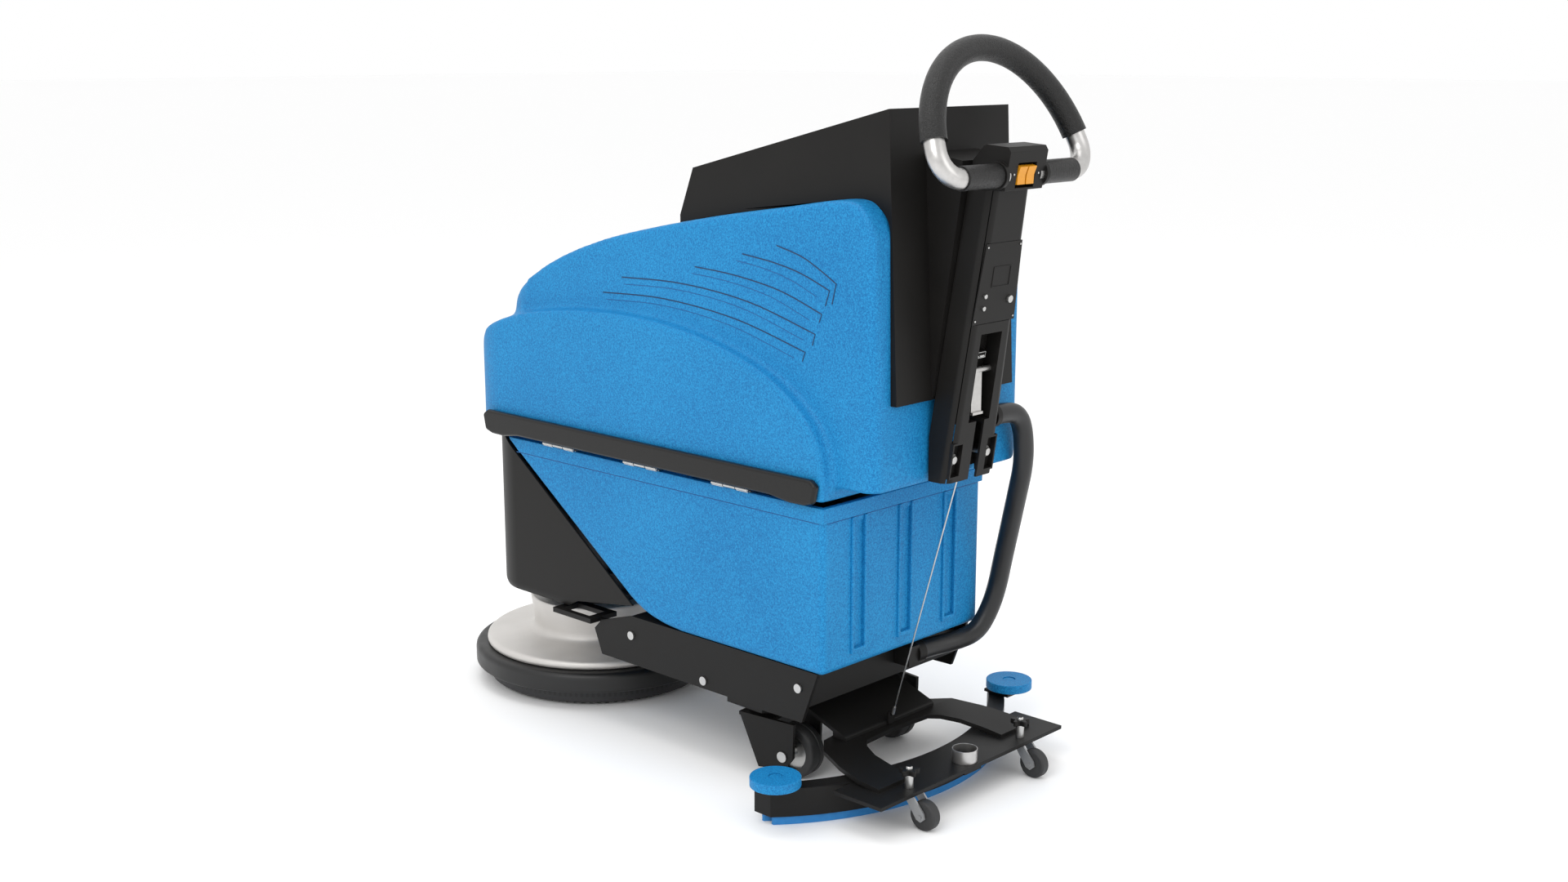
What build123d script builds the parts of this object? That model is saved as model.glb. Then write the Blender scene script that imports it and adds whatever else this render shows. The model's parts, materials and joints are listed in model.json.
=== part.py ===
"""Walk-behind floor scrubber-dryer: a battery machine with one disc brush in front, a lower
solution tank on a steel frame, a recovery tank that tips to the left on three hinges, a column
with the loop handle, and a curved squeegee on a lifting arm behind.

Frame: +Z up, floor at z = 0, the machine drives towards -Y and +X is its left side.
All sizes are in millimetres.
"""
import os
from math import atan2, cos, hypot, pi, radians, sin, sqrt, tan

from build123d import *

os.makedirs("parts", exist_ok=True)

# ---------------------------------------------------------------- driving dimensions
SKIRT_R = 230.0          # splash skirt round a 17 inch brush
BRUSH_Y = -363.5         # brush axis
BRUSH_R = 205.0
TANK_HALF = 192.0        # half width of the lower tank
FENDER_HALF = 200.0      # half width of the recovery tank's fenders
UPPER_HALF = 178.0       # half width of the recovery tank above the fenders
TANK_FLOOR = 214.0       # underside of the lower tank, top of the frame
LOWER_TOP = 478.0        # rim of the lower tank
UPPER_FLOOR = 486.0      # underside of the recovery tank
TIP_X, TIP_Z = 197.5, 482.0        # axis of the three tank hinges
REAR_Y = 375.5           # rear face of the lower tank
WALL = 4.0               # wall of the rotomoulded tanks
FLUSH = 0.3              # gap between neighbours that do not touch
RAIL_OUT, RAIL_T = 188.0, 6.0
BEAM_Y = (160.0, 238.0)
BEAM_Z = 118.0
CASTER_X, CASTER_Y = 126.0, 195.5
CASTER_TURN = 7.0        # the casters stand a little off straight
CASTER_TRAIL, WHEEL_R, WHEEL_W = 60.0, 44.0, 34.0
FORK_TOP = 102.0
ARM_PIVOT = (252.0, 112.0)         # y, z of the squeegee arm's rod
BLADE_R, BLADE_HALF = 426.6, 284.0
COLUMN_FOOT_Y, COLUMN_FOOT_Z, COLUMN_TOP_Z = 500.5, 512.0, 949.0
COLUMN_SLOPE = 0.15
BAR_Y, BAR_Z = 573.5, 971.0        # handle bar
COVER_HALF = 140.0       # half width of the top cover
LOOP_R, LOOP_UP = 170.5, 19.0      # handle loop: radius, and its centre above the bar
BEND_R = 36.0
TUBE_R, GRIP_R, SLEEVE_R = 15.0, 19.0, 17.5
LEAN = 0.398                       # the loop leans forward by this much per unit of height
HINGE_YS = (-229.5, -22.0, 185.0)  # middle of each tank hinge
LEVER_Y, LEVER_Z = 512.0, 680.0    # cross rod of the squeegee lift lever
EYELET = (2.0, 357.0, 98.5)       # where the lift cable is hooked on



def finish(name, piece):
    """Label a finished piece, write it and list it."""
    piece.part.label = name
    export_step(piece.part, f"parts/{name}.step")


def side(x):
    """Plane parallel to YZ at x: its first axis is Y and its second Z."""
    return Plane.YZ.offset(x)


def brush_disc(r_out, z_low, z_high, r_in=0.0):
    """Ring or disc about the brush axis, added to the open part."""
    with BuildSketch(Plane((0, BRUSH_Y, z_low))) as disc:
        Circle(r_out)
        if r_in:
            Circle(r_in, mode=Mode.SUBTRACT)
    extrude(disc.sketch, amount=z_high - z_low)


def blade_y(x, y_mid):
    """Y of the squeegee's arc at x, for an arc whose middle is at y_mid."""
    return y_mid - BLADE_R + sqrt(BLADE_R**2 - x**2)


def crescent(y_front, y_back, half):
    """Closed outline between two arcs of the squeegee's curve, added to the open sketch."""
    with BuildLine() as outline:
        ThreePointArc(
            (-half, blade_y(half, y_front)), (0, y_front), (half, blade_y(half, y_front))
        )
        ThreePointArc(
            (-half, blade_y(half, y_back)), (0, y_back), (half, blade_y(half, y_back))
        )
        Line((-half, blade_y(half, y_front)), (-half, blade_y(half, y_back)))
        Line((half, blade_y(half, y_front)), (half, blade_y(half, y_back)))
    make_face(outline.edges())


# ---------------------------------------------------------------- frame
rail_outline = [
    (-157, 172), (-139, 129), (170, 129), (170, 125), (329, 128), (362, TANK_FLOOR),
    (-60, TANK_FLOOR), (-139, 190),
]
RAIL_BOLTS = ((-61.5, 180), (112.5, 143), (322.5, 183))     # y, z

for name, sign in (("left_rail", 1), ("right_rail", -1)):
    with BuildPart() as rail:
        with BuildSketch(side(sign * RAIL_OUT)):
            with BuildLine():
                Polyline(*rail_outline, close=True)
            make_face()
            with Locations(*RAIL_BOLTS):
                Circle(4.2, mode=Mode.SUBTRACT)
        extrude(amount=-sign * RAIL_T)
    finish(name, rail)

INNER = RAIL_OUT - RAIL_T
with BuildPart() as frame_deck:
    with BuildSketch(Plane.XY.offset(TANK_FLOOR - 5)):
        with Locations((0, 145)):
            Rectangle(2 * INNER, 410)
        with Locations((0, 60), (0, 300)):
            RectangleRounded(220, 90, 12, mode=Mode.SUBTRACT)
    extrude(amount=5)
    for y, z_low in ((-61.5, 168), (112.5, 131), (322.5, 152)):
        with Locations((0, y, (z_low + TANK_FLOOR - 5) / 2)):
            Box(2 * INNER, 24, TANK_FLOOR - 5 - z_low)
    with Locations((0, sum(BEAM_Y) / 2, (BEAM_Z + TANK_FLOOR - 5) / 2)):
        Box(2 * INNER, BEAM_Y[1] - BEAM_Y[0], TANK_FLOOR - 5 - BEAM_Z)
        Box(2 * INNER - 20, BEAM_Y[1] - BEAM_Y[0] - 10, TANK_FLOOR - 25 - BEAM_Z, mode=Mode.SUBTRACT)
    for x in (-70, 70):
        with BuildSketch(side(x - 4)):
            with BuildLine():
                Polyline(
                    (BEAM_Y[1], 119), (BEAM_Y[1], 150), (ARM_PIVOT[0] + 11, 126),
                    (ARM_PIVOT[0] + 11, 104), (ARM_PIVOT[0] - 9, 104), close=True,
                )
            make_face()
            with Locations(ARM_PIVOT):
                Circle(5.0, mode=Mode.SUBTRACT)
        extrude(amount=8)
    for x in (-CASTER_X, CASTER_X):
        with BuildSketch(Plane((x, CASTER_Y, BEAM_Z))):
            Circle(8.05)
        extrude(amount=16, mode=Mode.SUBTRACT)
    for sign in (-1, 1):
        for y, z in RAIL_BOLTS:
            with BuildSketch(side(sign * INNER)):
                with Locations((y, z)):
                    Circle(4.2)
            extrude(amount=-sign * 14, mode=Mode.SUBTRACT)
finish("frame_deck", frame_deck)

with BuildPart() as rail_bolts:
    for sign in (-1, 1):
        for y, z in RAIL_BOLTS:
            with BuildSketch(side(sign * RAIL_OUT)):
                with Locations((y, z)):
                    Circle(7.5)
            extrude(amount=sign * 3.5)
            with BuildSketch(side(sign * RAIL_OUT)):
                with Locations((y, z)):
                    Circle(4.0)
            extrude(amount=-sign * 19)
finish("rail_bolts", rail_bolts)

with BuildPart() as deck_brackets:
    for sign in (-1, 1):
        with BuildSketch(Plane.XY.offset(184)):
            with Locations((sign * 174, -199)):
                Rectangle(60, 100)
            with Locations((sign * 176, -199)):
                Rectangle(34, 70, mode=Mode.SUBTRACT)
        extrude(amount=9)
        with Locations((sign * (INNER - 4), -130, 180)):
            Box(8, 40, 18)
finish("deck_brackets", deck_brackets)

with BuildPart() as arm_rod:
    with BuildSketch(side(-82)):
        with Locations(ARM_PIVOT):
            Circle(5.0)
    extrude(amount=164)
finish("arm_rod", arm_rod)

# ---------------------------------------------------------------- lower tank and front shroud
diagonal_low, diagonal_high = (-46, 236), (-388, LOWER_TOP)
tank_outline = [
    diagonal_high, diagonal_low, (-22, TANK_FLOOR), (REAR_Y, TANK_FLOOR), (REAR_Y, LOWER_TOP),
]
WELL_FRONT = 84.0        # the battery well takes the rear of the tank, water the front

with BuildPart() as solution_tank:
    with BuildSketch(side(-TANK_HALF)):
        with BuildLine():
            Polyline(*tank_outline, close=True)
        make_face()
    extrude(amount=2 * TANK_HALF)
    fillet(solution_tank.edges().filter_by(Axis.Z).group_by(Axis.Y)[-1], 11)
    fillet(
        solution_tank.faces().filter_by(Axis.Z).sort_by(Axis.Z)[0].edges().group_by(Axis.Y)[-1],
        14,
    )
    with BuildSketch(Plane.XY.offset(222)):
        with Locations((0, (WELL_FRONT + REAR_Y - 6) / 2)):
            RectangleRounded(2 * TANK_HALF - 14, REAR_Y - 6 - WELL_FRONT, 8)
    extrude(amount=300, mode=Mode.SUBTRACT)
    with BuildSketch(side(-TANK_HALF + 6)):
        with BuildLine():
            Polyline(
                (-352, 467), (-38, 244), (-10, 222), (WELL_FRONT - 6, 222),
                (WELL_FRONT - 6, 467), close=True,
            )
        make_face()
    extrude(amount=2 * TANK_HALF - 12, mode=Mode.SUBTRACT)
    with Locations((90, -190, LOWER_TOP - 8)):
        Cylinder(34, 30, mode=Mode.SUBTRACT)
    for x in (-111, 0, 111):
        with BuildSketch(Plane.XZ.offset(-REAR_Y)):
            with Locations((x, 345)):
                Rectangle(36, 213)
                Rectangle(24, 201, mode=Mode.SUBTRACT)
        extrude(amount=-3)
        with BuildSketch(Plane.XZ.offset(-REAR_Y)):
            with Locations((x, 345)):
                Rectangle(24, 201)
        extrude(amount=3, mode=Mode.SUBTRACT)
finish("solution_tank", solution_tank)

with BuildPart() as filler_cap:
    with Locations((90, -190, LOWER_TOP - 10)):
        Cylinder(33.5, 12, align=(Align.CENTER, Align.CENTER, Align.MIN))
    with Locations((90, -190, LOWER_TOP)):
        Cylinder(40, 4, align=(Align.CENTER, Align.CENTER, Align.MIN))
finish("filler_cap", filler_cap)

for name, x in (("left_battery", 88), ("right_battery", -88)):
    with BuildPart() as battery:
        with Locations((x, 226, 222)):
            Box(168, 262, 200, align=(Align.CENTER, Align.CENTER, Align.MIN))
        fillet(battery.edges().filter_by(Axis.Z), 5)
        with Locations((x - 50, 126, 422), (x + 50, 126, 422)):
            Cylinder(9, 16, align=(Align.CENTER, Align.CENTER, Align.MIN))
    finish(name, battery)

SHROUD_FRONT = -455.5
shroud_outline = [
    (SHROUD_FRONT, LOWER_TOP - 1), (SHROUD_FRONT, 186), (-250, 185), (-196, 212),
    (-54, 234), (-392, LOWER_TOP - 1),
]
with BuildPart() as front_shroud:
    with BuildSketch(side(-TANK_HALF)):
        with BuildLine():
            Polyline(*shroud_outline, close=True)
        make_face()
    extrude(amount=2 * TANK_HALF)
    fillet(front_shroud.edges().filter_by(Axis.Z).group_by(Axis.Y)[0], 95)
    fillet(front_shroud.faces().sort_by(Axis.Z)[0].edges().sort_by(Axis.Y)[0:3], 26)
    with BuildSketch(Plane.XY.offset(100)):
        with Locations((0, -150)):
            Rectangle(2 * TANK_HALF - 2 * WALL, 2 * (-150 - SHROUD_FRONT - WALL))
        fillet(vertices().group_by(Axis.Y)[0], 91)
    extrude(amount=LOWER_TOP - 105, mode=Mode.SUBTRACT)
finish("front_shroud", front_shroud)

# ---------------------------------------------------------------- brush deck
with BuildPart() as brush_housing:
    with BuildSketch(Plane.YZ.offset(0).shift_origin((0, BRUSH_Y, 0))):
        with BuildLine():
            Polyline(
                (206, 69), (208, 72), (208, 78), (204, 84), (150, 87), (124, 89), (118, 96),
                (126, 150), (126, 158), (60, 158), (60, 152), (116, 152), (111, 90), (146, 81),
                (198, 78), (198, 69), close=True,
            )
        make_face()
    revolve(axis=Axis((0, BRUSH_Y, 0), (0, 0, 1)))
finish("brush_housing", brush_housing)

with BuildPart() as brush_skirt:
    brush_disc(SKIRT_R, 34, 68.7, SKIRT_R - 7)
    brush_disc(SKIRT_R - 6, 62.5, 68.7, 196)
    fillet(brush_skirt.edges().group_by(Axis.Z)[-1].sort_by(SortBy.LENGTH)[-1], 4)
finish("brush_skirt", brush_skirt)

with BuildPart() as brush_gearmotor:
    brush_disc(100, 158, 170)
    brush_disc(72, 170, 206)
    brush_disc(56, 206, 318)
    brush_disc(30, 318, 330)
    brush_disc(56, 112, 158)
    with BuildSketch(Plane((0, BRUSH_Y, 100))):
        Circle(13.05)
    extrude(amount=66, mode=Mode.SUBTRACT)
finish("brush_gearmotor", brush_gearmotor)

with BuildPart() as brush_driver:
    brush_disc(13.0, 40, 165)
    brush_disc(60, 46, 62)
    brush_disc(190, 36, 46)
    brush_disc(BRUSH_R, 9, 36)
finish("brush_driver", brush_driver)

with BuildPart() as brush_bristles:
    with BuildSketch(Plane((0, BRUSH_Y, 0))):
        Circle(BRUSH_R - 4)
        Circle(70, mode=Mode.SUBTRACT)
    with BuildSketch(Plane((0, BRUSH_Y, 9))):
        Circle(BRUSH_R - 6)
        Circle(74, mode=Mode.SUBTRACT)
    loft()
finish("brush_bristles", brush_bristles)

# ---------------------------------------------------------------- casters
for name, sign in (("left_caster", 1), ("right_caster", -1)):
    turn = radians(CASTER_TURN)
    along = (-sign * sin(turn), cos(turn), 0)
    across = (cos(turn), sign * sin(turn), 0)
    axis_at = (sign * CASTER_X, CASTER_Y, 0)
    caster_side = Plane(origin=axis_at, x_dir=along, z_dir=across)
    with BuildPart() as fork:
        for x in (-40, 34):
            with BuildSketch(caster_side.offset(x)):
                with BuildLine():
                    Polyline(
                        (-27, FORK_TOP), (82, FORK_TOP), (80, 44), (66, 26), (52, 22), (12, 16),
                        close=True,
                    )
                make_face()
                with Locations((CASTER_TRAIL, WHEEL_R)):
                    Circle(5.0, mode=Mode.SUBTRACT)
            extrude(amount=6)
        with BuildSketch(caster_side.offset(-40)):
            with Locations((5, FORK_TOP - 3)):
                Rectangle(64, 6)
        extrude(amount=80)
        with BuildSketch(Plane((axis_at[0], axis_at[1], FORK_TOP - 4))):
            Circle(29)
        extrude(amount=BEAM_Z - FLUSH - FORK_TOP + 4)
        with BuildSketch(Plane((axis_at[0], axis_at[1], FORK_TOP))):
            Circle(8.0)
        extrude(amount=BEAM_Z + 14 - FORK_TOP)
    finish(f"{name}_fork", fork)

    with BuildPart() as axle:
        with BuildSketch(caster_side.offset(-43)):
            with Locations((CASTER_TRAIL, WHEEL_R)):
                Circle(9)
        extrude(amount=3)
        with BuildSketch(caster_side.offset(40)):
            with Locations((CASTER_TRAIL, WHEEL_R)):
                Circle(9)
        extrude(amount=3)
        with BuildSketch(caster_side.offset(-40)):
            with Locations((CASTER_TRAIL, WHEEL_R)):
                Circle(5.0)
        extrude(amount=80)
        for x in (-33.9, 22.1):
            with BuildSketch(caster_side.offset(x)):
                with Locations((CASTER_TRAIL, WHEEL_R)):
                    Circle(8)
            extrude(amount=11.8)
    finish(f"{name}_axle", axle)

    with BuildPart() as wheel:
        with BuildSketch(caster_side.offset(-WHEEL_W / 2)):
            with Locations((CASTER_TRAIL, WHEEL_R)):
                Circle(WHEEL_R)
                Circle(5.05, mode=Mode.SUBTRACT)
        extrude(amount=WHEEL_W)
        for x in (-WHEEL_W / 2, WHEEL_W / 2 - 6):
            with BuildSketch(caster_side.offset(x)):
                with Locations((CASTER_TRAIL, WHEEL_R)):
                    Circle(29)
                    Circle(12, mode=Mode.SUBTRACT)
            extrude(amount=6, mode=Mode.SUBTRACT)
        for x in (-21.9, 17):
            with BuildSketch(caster_side.offset(x)):
                with Locations((CASTER_TRAIL, WHEEL_R)):
                    Circle(10)
                    Circle(5.05, mode=Mode.SUBTRACT)
            extrude(amount=4.9)
    finish(f"{name}_wheel", wheel)

# ---------------------------------------------------------------- tank hinges
with BuildPart() as lower_hinge_leaves:
    for y in HINGE_YS:
        with Locations((179, y, LOWER_TOP + 1)):
            Box(30, 80, 2)
        for dy in (-27, 27):
            with BuildSketch(Plane.XZ.offset(-(y + dy + 12.5))):
                with Locations((TIP_X, TIP_Z)):
                    Circle(3.2)
                with Locations(((194 + TIP_X) / 2, LOWER_TOP + 1)):
                    Rectangle(TIP_X - 192, 2)
                with Locations((TIP_X, TIP_Z)):
                    Circle(2.05, mode=Mode.SUBTRACT)
            extrude(amount=25)
finish("lower_hinge_leaves", lower_hinge_leaves)

with BuildPart() as upper_hinge_leaves:
    for y in HINGE_YS:
        with Locations((179, y, UPPER_FLOOR - 1)):
            Box(24, 76, 2)
        with BuildSketch(Plane.XZ.offset(-(y + 12.5))):
            with Locations((TIP_X, TIP_Z)):
                Circle(3.2)
            with Locations(((190 + TIP_X) / 2, UPPER_FLOOR - 1)):
                Rectangle(TIP_X - 190, 2)
            with Locations((TIP_X, TIP_Z)):
                Circle(2.05, mode=Mode.SUBTRACT)
        extrude(amount=25)
finish("upper_hinge_leaves", upper_hinge_leaves)

with BuildPart() as hinge_pins:
    for y in HINGE_YS:
        with BuildSketch(Plane.XZ.offset(-(y + 41))):
            with Locations((TIP_X, TIP_Z)):
                Circle(2.0)
        extrude(amount=82)
finish("hinge_pins", hinge_pins)

# ---------------------------------------------------------------- recovery tank
with BuildPart() as upper_body:
    with BuildSketch(side(-UPPER_HALF)):
        with BuildLine():
            Line((-417, UPPER_FLOOR), (-417, 655))
            Spline(
                (-417, 655), (-404, 697), (-350, 745), (-255, 797), (-138, 838), (-10, 868),
                (140, 896), (270, 916), (395, 934), tangents=((0, 1), (1, 0.12)),
            )
            Spline((395, 934), (437, 921), (455, 884), tangents=((1, 0.12), (0, -1)))
            Polyline(
                (455, 884), (462, 508), (REAR_Y + 5, 508), (REAR_Y + 5, UPPER_FLOOR),
                (-417, UPPER_FLOOR),
            )
        make_face()
    extrude(amount=2 * UPPER_HALF)
    with BuildSketch(Plane.XY.offset(400)):
        with Locations((0, 22.5)):
            Rectangle(2 * UPPER_HALF, 879)
        fillet(vertices().group_by(Axis.Y)[0], 90)
        fillet(vertices().group_by(Axis.Y)[-1], 24)
    extrude(amount=600, mode=Mode.INTERSECT)

with BuildPart() as fenders:
    with BuildSketch(side(-FENDER_HALF)):
        with BuildLine():
            Line((-496, UPPER_FLOOR), (-496, 560))
            Spline(
                (-496, 560), (-482, 620), (-430, 668), (-330, 700), (-215, 718), (-110, 725),
                (10, 723), (115, 710), (210, 686), (285, 655), (345, 610), (373, 565),
                (380, 525), tangents=((0, 1), (0, -1)),
            )
            Polyline((380, 525), (380, UPPER_FLOOR), (-496, UPPER_FLOOR))
        make_face()
    extrude(amount=2 * FENDER_HALF)
    with BuildSketch(Plane.XY.offset(400)):
        with Locations((0, 4)):
            Rectangle(2 * FENDER_HALF, 1000)
        fillet(vertices().group_by(Axis.Y)[0], 105)
    extrude(amount=500, mode=Mode.INTERSECT)

with BuildPart() as recovery_tank:
    add(upper_body.part)
    add(fenders.part)
    with BuildSketch(side(-UPPER_HALF + 6)):
        with BuildLine():
            Polyline(
                (-408, 494), (-408, 640), (-395, 680), (-340, 737), (-245, 787), (-130, 828),
                (0, 858), (140, 886), (395, 922), (434, 912), (448, 880), (454, 516),
                (REAR_Y - 3, 516), (REAR_Y - 3, 494), close=True,
            )
        make_face()
    extrude(amount=2 * UPPER_HALF - 12, mode=Mode.SUBTRACT)
    with BuildSketch(Plane.XY.offset(800)):
        with Locations((0, 330)):
            RectangleRounded(200, 180, 20)
        with Locations((0, 130)):
            Circle(30)
    extrude(amount=200, mode=Mode.SUBTRACT)
    with BuildSketch(Plane.XZ.offset(-450)):
        with Locations((-40.6, 546), (40.6, 546)):
            Circle(4.2)
    extrude(amount=-20, mode=Mode.SUBTRACT)
finish("recovery_tank", recovery_tank)

cover_side = [(19, 840), (19, 888), (49, 963), (450, 1063), (471, 637), (430, 637), (430, 840)]
with BuildPart() as top_cover:
    with BuildSketch(side(-COVER_HALF)):
        with BuildLine():
            Polyline(*cover_side, close=True)
        make_face()
    extrude(amount=2 * COVER_HALF)
    with BuildSketch(side(-COVER_HALF + WALL)):
        with BuildLine():
            Polyline(
                (24, 800), (24, 888), (53, 959), (444, 1057), (451, 930), (440, 800), close=True,
            )
        make_face()
    extrude(amount=2 * COVER_HALF - 2 * WALL, mode=Mode.SUBTRACT)
    add(upper_body.part, mode=Mode.SUBTRACT)
    with BuildSketch(side(-60)):
        with BuildLine():
            Polyline((468, 642), (473, 642), (520, 955), (520, 990), (453, 1000), close=True)
        make_face()
    extrude(amount=120)
finish("top_cover", top_cover)

strip_side = [(-416, 487), (-420, 500), (-414, 514), (-200, 520), (200, 523), (372, 519),
              (377, 503), (372, 488), (330, 490), (-370, 489)]
for name, sign in (("left_bumper_strip", 1), ("right_bumper_strip", -1)):
    with BuildPart() as strip:
        with BuildSketch(side(sign * FENDER_HALF)):
            with BuildLine():
                Polyline(*strip_side, close=True)
            make_face()
        extrude(amount=sign * 11)
        fillet(strip.faces().sort_by(Axis.X)[-1 if sign > 0 else 0].edges(), 4)
        add(fenders.part, mode=Mode.SUBTRACT)
    finish(name, strip)

with BuildPart() as vacuum_motor:
    for r, z_low, z_high in ((62, 886, 900), (58, 900, 946), (40, 946, 966)):
        with BuildSketch(Plane((0, 130, z_low))):
            Circle(r)
        extrude(amount=z_high - z_low)
    with BuildSketch(Plane((0, 130, 880))):
        Circle(52)
    extrude(amount=24, mode=Mode.SUBTRACT)
    with BuildSketch(Plane((0, 130, 880))):
        Circle(4.05)
    extrude(amount=60, mode=Mode.SUBTRACT)
    add(upper_body.part, mode=Mode.SUBTRACT)
finish("vacuum_motor", vacuum_motor)

# ---------------------------------------------------------------- control column
FACE_TILT = atan2(COLUMN_SLOPE, 1)
column_face = Plane(
    origin=(0, COLUMN_FOOT_Y, COLUMN_FOOT_Z), x_dir=(-1, 0, 0),
    z_dir=(0, cos(FACE_TILT), -sin(FACE_TILT)),
)


def up_face(z):
    """Distance up the column's rear face from its foot to height z."""
    return (z - COLUMN_FOOT_Z) / cos(FACE_TILT)


COLUMN_DEPTH = 46.0
top_rear = COLUMN_FOOT_Y + COLUMN_SLOPE * (COLUMN_TOP_Z - COLUMN_FOOT_Z)
with BuildPart() as control_column:
    with BuildSketch(Plane.XY.offset(COLUMN_FOOT_Z)):
        with Locations((0, COLUMN_FOOT_Y - COLUMN_DEPTH / 2)):
            Rectangle(116, COLUMN_DEPTH)
    with BuildSketch(Plane.XY.offset(COLUMN_TOP_Z)):
        with Locations((0, top_rear - COLUMN_DEPTH / 2)):
            Rectangle(92, COLUMN_DEPTH)
    loft()
    standing = control_column.edges().filter_by(lambda e: abs((e % 0.5).Z) > 0.9)
    fillet(standing.sort_by(Axis.Y)[-2:], 15)
    with BuildSketch(Plane.XY.offset(COLUMN_FOOT_Z)):
        with Locations((0, COLUMN_FOOT_Y - COLUMN_DEPTH / 2)):
            Rectangle(108, COLUMN_DEPTH - 8)
    with BuildSketch(Plane.XY.offset(COLUMN_TOP_Z)):
        with Locations((0, top_rear - COLUMN_DEPTH / 2)):
            Rectangle(84, COLUMN_DEPTH - 8)
    loft(mode=Mode.SUBTRACT)
    with BuildSketch(column_face):
        with Locations((0, up_face(670))):
            Rectangle(62, 150)
    extrude(amount=-30)
    with BuildSketch(column_face):
        with Locations((0, up_face(670))):
            Rectangle(50, 136)
    extrude(amount=-26, mode=Mode.SUBTRACT)
    with Locations((-4, 480, 545)):
        Box(20, 120, 126, mode=Mode.SUBTRACT)
    with Locations((0, 466, 546)):
        Box(104, 3, 50)
        Box(28, 10, 60, mode=Mode.SUBTRACT)
    for x in (-40.6, 40.6):
        with BuildSketch(column_face):
            with Locations((x, up_face(546))):
                Rectangle(26, 56)
        extrude(amount=-12)
        with BuildSketch(column_face):
            with Locations((x, up_face(546))):
                Rectangle(20, 50)
        extrude(amount=-9, mode=Mode.SUBTRACT)
    with BuildSketch(Plane.XZ.offset(-400)):
        with Locations((-40.6, 546), (40.6, 546)):
            Circle(4.2)
    extrude(amount=-120, mode=Mode.SUBTRACT)
    with BuildSketch(side(-24)):
        with Locations((LEVER_Y, LEVER_Z)):
            Circle(6)
    extrude(amount=-7)
    with BuildSketch(side(24)):
        with Locations((LEVER_Y, LEVER_Z)):
            Circle(6)
    extrude(amount=7)
    with BuildSketch(side(-31)):
        with Locations((LEVER_Y, LEVER_Z)):
            Circle(4.55)
    extrude(amount=62, mode=Mode.SUBTRACT)
    with BuildSketch(column_face):
        with BuildLine():
            Polyline(
                (-51, up_face(753)), (51, up_face(753)), (43, up_face(873)), (-43, up_face(873)),
                close=True,
            )
        make_face()
    extrude(amount=-2, mode=Mode.SUBTRACT)
    with BuildSketch(column_face):
        with Locations((30, up_face(786))):
            Circle(6.6)
    extrude(amount=-20, mode=Mode.SUBTRACT)
    with BuildSketch(side(-60)):
        with BuildLine():
            Polyline((400, 490), (466.35, 490), (459.35, 884), (400, 960), close=True)
        make_face()
    extrude(amount=120, mode=Mode.SUBTRACT)
finish("control_column", control_column)

with BuildPart() as access_plate:
    with BuildSketch(column_face.offset(-2)):
        with BuildLine():
            Polyline(
                (-50.4, up_face(753.6)), (50.4, up_face(753.6)), (42.4, up_face(872.4)),
                (-42.4, up_face(872.4)), close=True,
            )
        make_face()
    extrude(amount=1.7)
    with BuildSketch(column_face.offset(-0.3)):
        with Locations((3, up_face(822))):
            Rectangle(42, 31)
            Rectangle(39, 28, mode=Mode.SUBTRACT)
    extrude(amount=0.8)
    with BuildSketch(column_face.offset(-3)):
        with Locations((30, up_face(786))):
            Circle(6.1)
    extrude(amount=6, mode=Mode.SUBTRACT)
    with BuildSketch(column_face.offset(-3)):
        with Locations((-30, up_face(795)), (-30, up_face(777))):
            Circle(3.5)
    extrude(amount=6, mode=Mode.SUBTRACT)
finish("access_plate", access_plate)

with BuildPart() as indicator_lamps:
    with BuildSketch(column_face.offset(-2)):
        with Locations((-30, up_face(795)), (-30, up_face(777))):
            Circle(3.5)
    extrude(amount=4.5)
finish("indicator_lamps", indicator_lamps)

with BuildPart() as push_button:
    with BuildSketch(column_face.offset(-9)):
        with Locations((30, up_face(786))):
            Circle(5.7)
    extrude(amount=12.5)
finish("push_button", push_button)

HEAD_TILT = atan2(9.6, 55)
head_face = Plane(
    origin=(0, 583.9 + 9.6 * 25 / 55, 974), x_dir=(-1, 0, 0), z_dir=(0, cos(HEAD_TILT), -sin(HEAD_TILT)),
)
with BuildPart() as switch_head:
    with BuildSketch(side(-45)):
        with BuildLine():
            Polyline(
                (524, COLUMN_TOP_Z), (583.9, COLUMN_TOP_Z), (593.5, 1004), (589, 1011),
                (548, 1014), (526, 990), close=True,
            )
        make_face()
    extrude(amount=90)
    chamfer(switch_head.edges().filter_by(Axis.X).group_by(Axis.Z)[-1], 3)
    for x in (-52, 45):
        with BuildSketch(side(x)):
            with Locations((BAR_Y, BAR_Z)):
                Circle(20)
        extrude(amount=7)
    with BuildSketch(head_face):
        with Locations((0, -4)):
            Rectangle(44, 36)
    extrude(amount=-16, mode=Mode.SUBTRACT)
    for sign in (-1, 1):
        with BuildSketch(side(sign * 34)):
            with Locations((BAR_Y, BAR_Z)):
                Circle(TUBE_R)
        extrude(amount=sign * 20, mode=Mode.SUBTRACT)
finish("switch_head", switch_head)

rocker_outline = [(-18, -6), (-17, 1.5), (-4, 0.2), (9, 3.0), (10, -6), (-4, -12)]


def on_head(up, out):
    """Y and Z of a point up the head's rear face and out of it."""
    spot = head_face.from_local_coords((0, up, out))
    return (spot.Y, spot.Z)


for name, x in (("left_rocker", 10.5), ("right_rocker", -10.5)):
    with BuildPart() as rocker:
        with BuildSketch(side(x - 9)):
            with BuildLine():
                Polyline(*[on_head(up, out) for up, out in rocker_outline], close=True)
            make_face()
        extrude(amount=18)
        with BuildSketch(side(x - 9.5)):
            with Locations(on_head(-4, -6)):
                Circle(2)
        extrude(amount=19)
    finish(name, rocker)

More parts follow.
